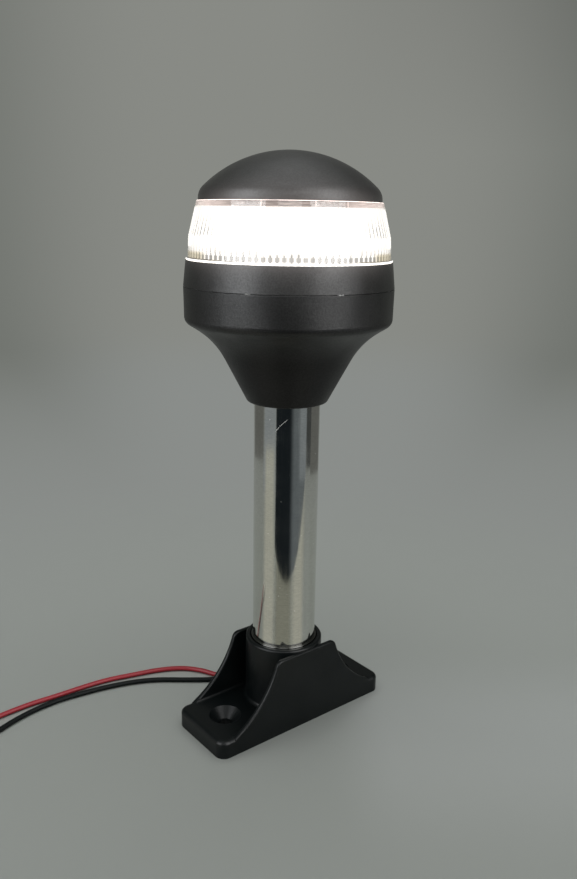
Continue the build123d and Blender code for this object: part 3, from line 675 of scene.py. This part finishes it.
CLEAR_ROUGHNESS, CLEAR_IOR = 0.03, 1.49
WALL_GLOW, LINE_LOSS, BEIGE_LOSS, MARK_GAIN = 1.25, -0.95, -0.42, 0.5
FLANGE_GLOW, TOP_EDGE_GLOW, RIM_GLOW = 1.5, 1.6, 0.5
WHITE_GLOW, BEIGE_GLOW, BAND_GLOW = (1.0, 0.96, 0.91), (1.0, 0.89, 0.66), (1.0, 0.83, 0.77)
CLEAR_TINT, PAINTED_SHADE_TINT = (0.97, 0.96, 0.94), (0.010, 0.009, 0.009)


def lit_lens():
    material, tree, shader, place = new_finish("lit_lens")
    fill(tree, shader, {"Roughness": CLEAR_ROUGHNESS, "IOR": CLEAR_IOR, "Transmission Weight": 1.0})

    # Where a point is: its height, its flute, how far round the side, and which wall the ray meets
    x, y, height = split(tree, place)
    crest = product(tree, maths(tree, "ARCTAN2", y, x), float(FLUTE_COUNT))
    crest = maths(tree, "COSINE", crest)
    crest = maths(tree, "MULTIPLY_ADD", crest, 0.5, 0.5)
    outward = get(tree, "ShaderNodeVectorMath", {0: place, 1: (1.0, 1.0, 0.0)}, operation="MULTIPLY")
    outward = get(tree, "ShaderNodeVectorMath", {0: outward}, operation="NORMALIZE")
    side = put(tree, "ShaderNodeLayerWeight", {"Blend": 0.5, "Normal": outward}).outputs["Facing"]
    inner = put(tree, "ShaderNodeAttribute", attribute_name="inner_wall").outputs["Fac"]
    ray_depth = put(tree, "ShaderNodeLightPath").outputs["Ray Depth"]
    back = put(tree, "ShaderNodeNewGeometry").outputs["Backfacing"]
    near_wall = product(tree, back, inner, maths(tree, "LESS_THAN", ray_depth, 1.5))
    streaks = speckle(tree, place, 1.1 * MM, detail=3.0, stretch=(1.0, 1.0, 5.0))
    strands = speckle(tree, place, 1.2 * MM, detail=3.0, stretch=(4.0, 4.0, 0.4))

    # The fluted wall's painted glow: dimmer dashes that are painted shade of the dark spigot behind, dimmer
    # lines above them, and a dimmer beige glow low down at the sides
    dashes = lens_dashes(tree, height, crest)
    lines = lens_lines(tree, height, crest, side, streaks)
    beige = product(
        tree, ramp(tree, side, 0.18, 0.24), over_height(tree, height, DASH_TOP, 0.0, 1.4, 1.0, 0.0), inner
    )
    fluted = maths(tree, "MULTIPLY_ADD", lines, LINE_LOSS, WALL_GLOW)
    fluted = maths(tree, "MULTIPLY_ADD", beige, BEIGE_LOSS, fluted)
    dash_glow = ramp(tree, side, 0.03, 0.20, 0.66, 0.42)
    dash_glow = product(tree, dash_glow, ramp(tree, streaks, 0.35, 0.6, 1.1, 0.9))
    fluted = mix_values(tree, dashes, fluted, dash_glow)

    # The plain band above it, a painted glow with brighter upright marks
    band = ramp(tree, strands, 0.35, 0.70, 0.34, 0.60)
    band = maths(tree, "ADD", band, ramp(tree, side, 0.08, 0.18, 0.0, 0.35))
    band = product(tree, band, over_height(tree, height, LENS_TOP, -0.9, -0.5, 1.0, 0.55))
    marks = marks_at(tree, x, y, MARK_BEARINGS, MARK_WIDTH)
    band = maths(tree, "MULTIPLY_ADD", marks, MARK_GAIN, band)
    in_band = over_height(tree, height, LENS_TOP - PLAIN_TOP, -0.1, 0.2)

    walls = product(tree, mix_values(tree, in_band, fluted, band), near_wall)
    edges = lens_edges(tree, height, side, inner, in_band, strands, ray_depth)
    strength = maths(tree, "MAXIMUM", walls, edges)
    glow = blend_colours(tree, beige, WHITE_GLOW, BEIGE_GLOW)
    glow = blend_colours(tree, in_band, glow, BAND_GLOW)
    # Painted shade: the inner wall passes almost no light at the dashes, lines and band, so only the
    # painted glow shows there
    shaded_through = maths(tree, "MAXIMUM", maths(tree, "MAXIMUM", dashes, lines), in_band)
    tint = blend_colours(tree, product(tree, shaded_through, inner), CLEAR_TINT, PAINTED_SHADE_TINT)
    fill(tree, shader, {"Base Color": tint, "Emission Color": glow, "Emission Strength": strength})
    return material


lens_ring = profile_object("lens_ring", outside_points + inside_points)
grow(
    lens_ring, fluted_ring_group(), Flutes=FLUTE_COUNT, Steps=FLUTE_STEPS, Depth=FLUTE_DEPTH,
    Outside=len(outside_points), Material=lit_lens(),
)
lens_faces = close_mesh(lens_ring, LENS_SHARP)
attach(lens_ring, "root")
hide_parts("lens")
print("lens faces:", lens_faces, "flutes:", FLUTE_COUNT)

# %% [markdown]
# ## The lamp chips
#
# Twelve chips stand in two rows on the six faces of the lamp's tower. Each is a small white case with a
# round yellow window of phosphor. One node group sets a point for each chip, turns it to its face, and
# puts a case and a window there.

# %% Set the lamp chips
CHIP_SIZE, CHIP_THICKNESS = 3.5 * MM, 1.0 * MM
CHIP_FACES, CHIP_ROWS = 6, 2
FIRST_FACE = pi / 6
WINDOW_RADIUS, WINDOW_FLATNESS = 1.35 * MM, 0.35
LAMP_COLOUR = (1.0, 0.88, 0.70, 1.0)


def lamp_finish():
    material, tree, shader, place = new_finish("lit_phosphor")
    patch = speckle(tree, place, 0.8 * MM)
    phosphor = blend_colours(tree, patch, (1.0, 0.80, 0.42), (1.0, 0.88, 0.58))
    fill(tree, shader, {"Base Color": phosphor, "Emission Color": LAMP_COLOUR, "Emission Strength": 3.0})
    return material


def chip_group():
    group, given, end = new_group(
        "lamp_chips", Faces="Int", Reach="Float", Foot="Float", Pitch="Float",
        Case="Material", Window="Material",
    )
    case = get(group, "GeometryNodeMeshCube", {"Size": (CHIP_THICKNESS, CHIP_SIZE, CHIP_SIZE)})
    window = get(group, "GeometryNodeMeshUVSphere", {"Segments": 20, "Rings": 10, "Radius": WINDOW_RADIUS})
    lens_shape = {"Translation": (CHIP_THICKNESS / 2, 0, 0), "Scale": (WINDOW_FLATNESS, 1, 1)}
    window = get(group, "GeometryNodeTransform", {"Geometry": window, **lens_shape})
    window = store(group, window, "is_window", True, "BOOLEAN", "FACE")
    index = get(group, "GeometryNodeInputIndex")
    face = maths(group, "MODULO", index, given["Faces"])
    turn = maths(group, "MULTIPLY_ADD", face, 2 * pi / CHIP_FACES, FIRST_FACE)
    row = maths(group, "FLOOR", maths(group, "DIVIDE", index, given["Faces"]))
    height = maths(group, "MULTIPLY_ADD", row, given["Pitch"], given["Foot"])
    spot = polar(group, given["Reach"], turn, height)
    count = product(group, given["Faces"], float(CHIP_ROWS))
    points = get(group, "GeometryNodePoints", {"Count": count, "Position": spot})
    chips = set_round(group, points, join(group, case, window), turn)
    finish_group(group, chips, given["Case"], end, named(group, "is_window", "BOOLEAN"), given["Window"])
    return group


chip_low, chip_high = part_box("leds")
lamp_chips = profile_object("lamp_chips", [(0, 0, 0)])
chip_pitch = (chip_high.z - chip_low.z - CHIP_SIZE) / (CHIP_ROWS - 1)
grow(
    lamp_chips, chip_group(), Faces=CHIP_FACES, Reach=chip_high.y - CHIP_THICKNESS,
    Foot=chip_low.z + CHIP_SIZE / 2, Pitch=chip_pitch, Case=plain["white_board"], Window=lamp_finish(),
)
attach(lamp_chips, "root")
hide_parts("leds")
print("chips:", CHIP_FACES * CHIP_ROWS, "faces:", len(lamp_chips.data.polygons))

# %% [markdown]
# ## Lead ends
#
# Each lead ends in 7 mm of bare copper strands, twisted together and tinned. One node group winds a single
# strand as a spiral, sets it round in a circle and puts a straight core in the middle.

# %% Wind the lead ends
TIP_LENGTH, TIP_RADIUS, STRAND_RADIUS = 7.0 * MM, 0.55 * MM, 0.17 * MM
STRAND_COUNT, STRAND_TURNS = 7, 1.25


def strand_group():
    group, given, end = new_group(
        "twisted_strands", Strands="Int", Turns="Float", Length="Float", Reach="Float", Thickness="Float",
        Material="Material",
    )
    reach, length = given["Reach"], given["Length"]
    sizes = {"Resolution": 16, "Rotations": given["Turns"], "Height": length}
    spiral = get(group, "GeometryNodeCurveSpiral", {**sizes, "Start Radius": reach, "End Radius": reach})
    wire = {"Curve": spiral, "Profile Curve": circle(group, 8, given["Thickness"]), "Fill Caps": True}
    wire = get(group, "GeometryNodeCurveToMesh", wire)
    share = maths(group, "DIVIDE", get(group, "GeometryNodeInputIndex"), given["Strands"])
    points = get(group, "GeometryNodePoints", {"Count": given["Strands"]})
    ring = set_round(group, points, wire, product(group, share, 2 * pi))
    core = get(group, "GeometryNodeMeshCylinder", {"Vertices": 12, "Radius": reach, "Depth": length})
    lift = get(group, "ShaderNodeCombineXYZ", {"Z": product(group, length, 0.5)})
    core = get(group, "GeometryNodeTransform", {"Geometry": core, "Translation": lift})
    finish_group(group, join(group, ring, core), given["Material"], end)
    return group


def wind_tip(name, route):
    """Strands that go on from the end of a lead, in its last direction."""
    tip = profile_object(name, [(0, 0, 0)])
    grow(
        tip, strand_group(), Strands=STRAND_COUNT, Turns=STRAND_TURNS, Length=TIP_LENGTH,
        Reach=TIP_RADIUS - STRAND_RADIUS, Thickness=STRAND_RADIUS, Material=metals["tinned_wire"],
    )
    start, last = Vector(route[-1]) * MM, (Vector(route[-1]) - Vector(route[-2])).normalized()
    tip.data.transform(Matrix.Translation(start) @ last.to_track_quat("Z", "Y").to_matrix().to_4x4())
    close_mesh(tip, TIP_SHARP)
    return tip


red_tip = wind_tip("red_lead_strands", RED_ROUTE)
black_tip = wind_tip("black_lead_strands", BLACK_ROUTE)
print("strands wound:", STRAND_COUNT, "on each lead")

# %% [markdown]
# ## Flash along the seam
#
# Where two mouldings meet, a hair of plastic is often left: the flash. A circle takes a thin round section
# whose size follows noise, so the hair comes and goes along the seam between ring and bell, and it swells
# into a small pale nub at two places, where the lamps' highlights fall. The pale colour of hair and nubs is
# a painted glint.

# %% Run the flash round the seam
FLASH_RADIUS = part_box("carrier_ring")[1].x - 0.02 * MM
FLASH_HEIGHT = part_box("lower_housing")[1].z + 0.10 * MM
FLASH_THICKNESS, FLASH_STEPS = 0.03 * MM, 1440
NUB_THICKNESS, NUB_WIDTH, GLINT_NUB_BEARINGS = 0.34 * MM, 0.040, (-20.9, 26.3)


def flash_group():
    group, given, end = new_group(
        "seam_flash", Radius="Float", Thickness="Float", Nub="Float", Seed="Float", Material="Material"
    )
    spot = get(group, "GeometryNodeInputPosition")
    noise = {"Vector": spot, "W": given["Seed"], "Scale": 900.0, "Detail": 3.0}
    rough = get(group, "ShaderNodeTexNoise", noise, noise_dimensions="4D")
    x, y, z = split(group, spot)
    nub = marks_at(group, x, y, GLINT_NUB_BEARINGS, NUB_WIDTH)
    nub = product(group, nub, ramp(group, rough, 0.40, 0.60, 0.1, 1.0))
    hair = product(group, ramp(group, rough, 0.58, 0.74, 0.1, 1.0), given["Thickness"])
    thick = maths(group, "MULTIPLY_ADD", nub, given["Nub"], hair)
    ring, section = circle(group, FLASH_STEPS, given["Radius"]), circle(group, 6, 1.0)
    lip = get(group, "GeometryNodeCurveToMesh", {"Curve": ring, "Profile Curve": section, "Scale": thick})
    finish_group(group, lip, given["Material"], end)
    return group


# The flash's pale colour is a painted glint where the highlights meet the seam
flash_glint_finish = moulded("flash_painted_glint", (0.05, 0.05, 0.05), (0.30, 0.30, 0.29), 0.32, 0.4 * MM, 0.01 * MM)
seam_flash = profile_object("seam_flash_line", [(0, 0, 0)])
grow(
    seam_flash, flash_group(), Radius=FLASH_RADIUS, Thickness=FLASH_THICKNESS, Nub=NUB_THICKNESS, Seed=4.0,
    Material=flash_glint_finish,
)
seam_flash.data.transform(Matrix.Translation((0, 0, FLASH_HEIGHT)))
close_mesh(seam_flash, FLASH_SHARP)
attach(seam_flash, "root")
print("flash faces:", len(seam_flash.data.polygons))

# %% [markdown]
#
# Each lead's loose length is 150 mm, with the last 7 mm stripped and tinned. The curve stands in for the
# model's plain tube, and the strands for its plain tip.

for lead, route, tip, name in (
    (red_lead, RED_ROUTE, red_tip, "lead_red"),
    (black_lead, BLACK_ROUTE, black_tip, "lead_black"),
):
    for piece, slot, cad_name in ((lead, name, name), (tip, "tinned_copper", name + "_tip")):
        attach(piece, "root")
        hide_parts(cad_name)

# %% [markdown]
# ## Floor and backdrop
#
# The light stands on a plain sheet that curves up behind it. A bowl turned round the pole does the same for
# every side, so no view shows a horizon. Close to the object the sheet is an ordinary lit surface with a
# soft shadow, one slightly paler patch of painted light to the right and a faint painted gradient, paler
# behind, that evens out the light. Farther out, the camera and reflections see a fixed grey instead, as
# even as the photograph's backdrop: painted shade darkens it towards the sides, leaving a paler pool of
# painted light in line with the pole, and a little towards the top right.

# %% Build the sheet
FLOOR_RADIUS = 1.1
BOWL_RISE = 0.7
BOWL_HEIGHT = 1.9
BOWL_STEPS, CURVE_STEPS = 96, 12
LIT_GREY, LIGHT_PATCH_GREY = (0.490, 0.505, 0.485), (0.630, 0.640, 0.640)
GREY_DRIFT = 0.02
FLOOR_GREY = (0.254, 0.267, 0.256)
WALL_GREY, WALL_SHADE = (0.247, 0.254, 0.234), (0.168, 0.178, 0.162)
LIT_RADIUS, FIXED_RADIUS = 0.12, 0.34


def stage_mesh(name, vertices, faces):
    """A mesh of the set, not of the product."""
    mesh = bpy.data.meshes.new(name)
    mesh.from_pydata(vertices, [], faces)
    piece = bpy.data.objects.new(name, mesh)
    scene.collection.objects.link(piece)
    return piece


def studio_bowl():
    profile = [(0.05, 0.0), (FLOOR_RADIUS * 0.25, 0.0), (FLOOR_RADIUS * 0.5, 0.0), (FLOOR_RADIUS, 0.0)]
    for step in range(1, CURVE_STEPS + 1):
        turn = pi / 2 * step / CURVE_STEPS
        profile.append((FLOOR_RADIUS + BOWL_RISE * sin(turn), BOWL_RISE * (1 - cos(turn))))
    profile.append((FLOOR_RADIUS + BOWL_RISE, BOWL_HEIGHT))
    turns = [2 * pi * step / BOWL_STEPS for step in range(BOWL_STEPS)]
    vertices = [(0, 0, 0)]
    vertices += [(radius * cos(a), radius * sin(a), height) for radius, height in profile for a in turns]
    faces = [(0, 1 + step, 1 + (step + 1) % BOWL_STEPS) for step in range(BOWL_STEPS)]
    for ring in range(len(profile) - 1):
        for step in range(BOWL_STEPS):
            a, b = (1 + ring * BOWL_STEPS + s % BOWL_STEPS for s in (step, step + 1))
            faces.append((a, a + BOWL_STEPS, b + BOWL_STEPS, b))
    bowl = stage_mesh("studio_bowl", vertices, faces)
    bowl.data.shade_smooth()
    return bowl


def end_in_mix(tree, share, first, second):
    """Show the first shader or the second one, by share."""
    mix = get(tree, "ShaderNodeMixShader", {0: share, 1: first, 2: second})
    fill(tree, tree.nodes["Material Output"], {"Surface": mix})


def sheet_finish():
    material, tree, shader, place = new_finish("grey_sheet")
    drift = speckle(tree, place, 0.25)
    x, y, height = split(tree, place)
    far_x, far_y = cos(CAMERA_BEARING + pi), sin(CAMERA_BEARING + pi)
    behind = maths(tree, "MULTIPLY_ADD", x, far_x, product(tree, y, far_y))
    beside = maths(tree, "MULTIPLY_ADD", x, far_y, product(tree, y, -far_x))
    radius = maths(tree, "SQRT", maths(tree, "ADD", product(tree, x, x), product(tree, y, y)))
    safe_radius = maths(tree, "MAXIMUM", radius, 0.01)

    # Close by, a lit surface with one paler patch of painted light, and a faint painted gradient, paler
    # behind, that evens out the light, mixed with a random drift of tone
    patch = ramp(tree, maths(tree, "ABSOLUTE", maths(tree, "ADD", behind, 0.022)), 0.01, 0.075, 0.5, 0.0)
    patch = product(tree, patch, ramp(tree, beside, 0.015, 0.045))
    near_grey, far_grey = (tuple(share * c for c in LIT_GREY) for share in (1 - GREY_DRIFT, 1 + GREY_DRIFT))
    drift = maths(tree, "MULTIPLY_ADD", drift, 0.16, -0.08)
    depth = maths(tree, "ADD", ramp(tree, behind, -0.12, 0.14), drift)
    lit = blend_colours(tree, patch, blend_colours(tree, depth, near_grey, far_grey), LIGHT_PATCH_GREY)
    fill(tree, shader, {"Base Color": lit, "Roughness": 0.75, "Specular IOR Level": 0.2})

    # Farther out, a fixed grey: floor and wall, with painted shade towards the sides that leaves a paler
    # pool of painted light in line with the pole, and painted shade in the top right corner
    side_shade = within(tree, maths(tree, "DIVIDE", behind, safe_radius), 0.90, 0.99)
    shade = blend_colours(tree, ramp(tree, radius, 0.6, 1.3), FLOOR_GREY, WALL_GREY)
    shade = blend_colours(tree, product(tree, side_shade, ramp(tree, radius, 0.15, 1.1)), shade, WALL_SHADE)
    corner_shade = ramp(tree, maths(tree, "DIVIDE", beside, safe_radius), 0.0, 0.45, 0.0, 0.30, smooth=False)
    corner_shade = product(tree, corner_shade, ramp(tree, height, 0.35, 0.72, smooth=False))
    shade = blend_colours(tree, corner_shade, shade, (0.0, 0.0, 0.0))
    fixed = get(tree, "ShaderNodeEmission", {"Color": shade, "Strength": 1.0})

    ray = put(tree, "ShaderNodeLightPath").outputs
    reflected = maths(tree, "MAXIMUM", ray["Is Glossy Ray"], ray["Is Transmission Ray"])
    seen = maths(tree, "MAXIMUM", ray["Is Camera Ray"], reflected)
    share = product(tree, seen, ramp(tree, radius, LIT_RADIUS, FIXED_RADIUS))
    end_in_mix(tree, share, shader.outputs[0], fixed)
    return material


bowl = studio_bowl()
bowl.data.materials.append(sheet_finish())
print("sheet radius:", FLOOR_RADIUS)

# %% [markdown]
# ## Lamps
#
# A large soft panel above gives the even grey light. Two tall panels stand to the left and right of the
# camera: the grained plastic turns each into one broad upright highlight, which one bearing moves. On the
# sheet these aimed panels would wash out the soft shadow, so light linking keeps them off it.

# %% Hang the lamps
def at_bearing(bearing, distance, height):
    """A point at a bearing, in degrees from the camera as seen from the pole."""
    angle = CAMERA_BEARING + radians(bearing)
    return Vector((distance * cos(angle), distance * sin(angle), height))


def panel(name, place, aim, size, radiance, colour=(1.0, 1.0, 1.0)):
    """A soft rectangular lamp that looks at a point. A radiance of 1 looks white."""
    data = bpy.data.lights.new(name, "AREA")
    data.shape = "RECTANGLE"
    data.size, data.size_y = size
    data.energy = radiance * pi * size[0] * size[1]
    data.color = colour
    lamp = bpy.data.objects.new(name, data)
    direction = Vector(aim) - Vector(place)
    lamp.matrix_world = Matrix.Translation(place) @ direction.to_track_quat("-Z", "Y").to_matrix().to_4x4()
    scene.collection.objects.link(lamp)
    return lamp


PANEL_AIM = (0.0, 0.0, 0.18)
ROOM_COLOUR, ROOM_STRENGTH = (0.92, 0.97, 0.94, 1.0), 0.5
panel("panel_above", (0.0, 0.0, 1.6), (0.0, 0.0, 0.0), (1.5, 1.5), 1.0)
aimed_lamps = [
    panel("panel_front", at_bearing(0, 1.15, 0.80), PANEL_AIM, (0.60, 0.50), 2.2),
    panel("panel_left", at_bearing(-53, 0.95, 0.50), PANEL_AIM, (0.76, 0.90), 4.9, (0.96, 0.98, 1.0)),
    panel("panel_right", at_bearing(48, 0.95, 0.60), PANEL_AIM, (0.78, 1.15), 4.7),
]
off_sheet = bpy.data.collections.new("off_the_sheet")
off_sheet.objects.link(bowl)
off_sheet.collection_objects[0].light_linking.link_state = "EXCLUDE"
for lamp in aimed_lamps:
    lamp.light_linking.receiver_collection = off_sheet
world = bpy.data.worlds.new("room")
world.use_nodes = True
room = world.node_tree.nodes["Background"]
fill(world.node_tree, room, {"Color": ROOM_COLOUR, "Strength": ROOM_STRENGTH})
scene.world = world
print("aimed lamps:", len(aimed_lamps))

# %% [markdown]
# ## Cards for the polished tube
#
# A polished tube shows the room, not itself. Its long dark tongue is the room beyond the near edge of the
# sheet; on the sheet two paler patches flank a dimmer one. Flat glowing cards with soft sides are painted
# reflections of these. Only reflections see them, so they change neither the floor nor any shadow.

# %% Lay the reflection cards
CARD_HEIGHT, CARD_STEP = 0.30 * MM, 0.03 * MM
CARD_STEPS = 24
EDGE_DISTANCE, EDGE_TURN = 0.146, 6.0
PALE_REFLECTION = (0.40, 0.40, 0.35)


def sheet_edge(bearing):
    """How far the straight near edge of the sheet is at a bearing."""
    return EDGE_DISTANCE / cos(radians(bearing - EDGE_TURN))


def card_finish(name, bearings, colour, soft):
    """A plain glow between two bearings, with soft sides of the given widths in degrees."""
    material, tree, shader, place = new_finish(name)
    x, y, z = split(tree, place)
    turn = bearing_past(tree, x, y, 0)
    first, last = (radians(bearing) for bearing in bearings)
    start = ramp(tree, turn, first, first + radians(soft[0]))
    fade = product(tree, start, within(tree, turn, last - radians(soft[1]), last))
    glow = get(tree, "ShaderNodeEmission", {"Color": (*colour, 1.0), "Strength": 1.0})
    end_in_mix(tree, fade, get(tree, "ShaderNodeBsdfTransparent"), glow)
    return material


def floor_card(name, layer, bearings, near, far, colour, soft=(2.0, 2.0)):
    """A flat sector on the floor. near or far may be a distance or sheet_edge."""
    vertices = []
    for step in range(CARD_STEPS + 1):
        bearing = bearings[0] + (bearings[1] - bearings[0]) * step / CARD_STEPS
        for reach in (near, far):
            reach = reach(bearing) if callable(reach) else reach
            vertices.append(at_bearing(bearing, reach, CARD_HEIGHT + layer * CARD_STEP))
    faces = [(2 * s, 2 * s + 1, 2 * s + 3, 2 * s + 2) for s in range(CARD_STEPS)]
    card = stage_mesh(name, vertices, faces)
    card.data.materials.append(card_finish(name, bearings, colour, soft))
    card.visible_camera = card.visible_diffuse = card.visible_transmission = card.visible_shadow = False
    return card


# Each card is a painted reflection of a dark, dim or pale patch of room or floor
# name, layer, bearings, near and far distance, colour and, where it isn't 2 degrees, softness
CARDS = (
    ("dim_room", 0, (-36, 74), sheet_edge, 1.0, (0.115, 0.130, 0.140)),
    ("black_room", 1, (-37, 30), sheet_edge, 1.0, (0.010, 0.013, 0.0155), (2, 19)),
    ("pale_room", 1, (40, 73), 0.33, 1.0, (0.20, 0.22, 0.235), (12, 2)),
    ("dark_right", 1, (71, 94), 0.36, 1.0, (0.055, 0.058, 0.058)),
    ("pale_left", 0, (-90, -36), 0.30, 1.0, (0.24, 0.26, 0.275), (10, 2)),
    ("side_left", 0, (-150, -80), 0.38, 1.0, (0.125, 0.127, 0.120), (10, 10)),
    ("side_right", 0, (92, 150), 0.34, 1.0, (0.125, 0.127, 0.120)),
    ("dim_front", 0, (-38, 34), 0.05, sheet_edge, (0.226, 0.228, 0.190), (16, 22)),
    ("bright_left", 1, (-86, -34), 0.05, 0.42, PALE_REFLECTION, (18, 14)),
    ("bright_between", 2, (-66, -27), 0.05, sheet_edge, PALE_REFLECTION, (4, 22)),
    ("bright_right", 1, (16, 76), 0.05, sheet_edge, PALE_REFLECTION, (24, 20)),
)
cards = [floor_card(*card) for card in CARDS]
print("cards laid:", len(cards))
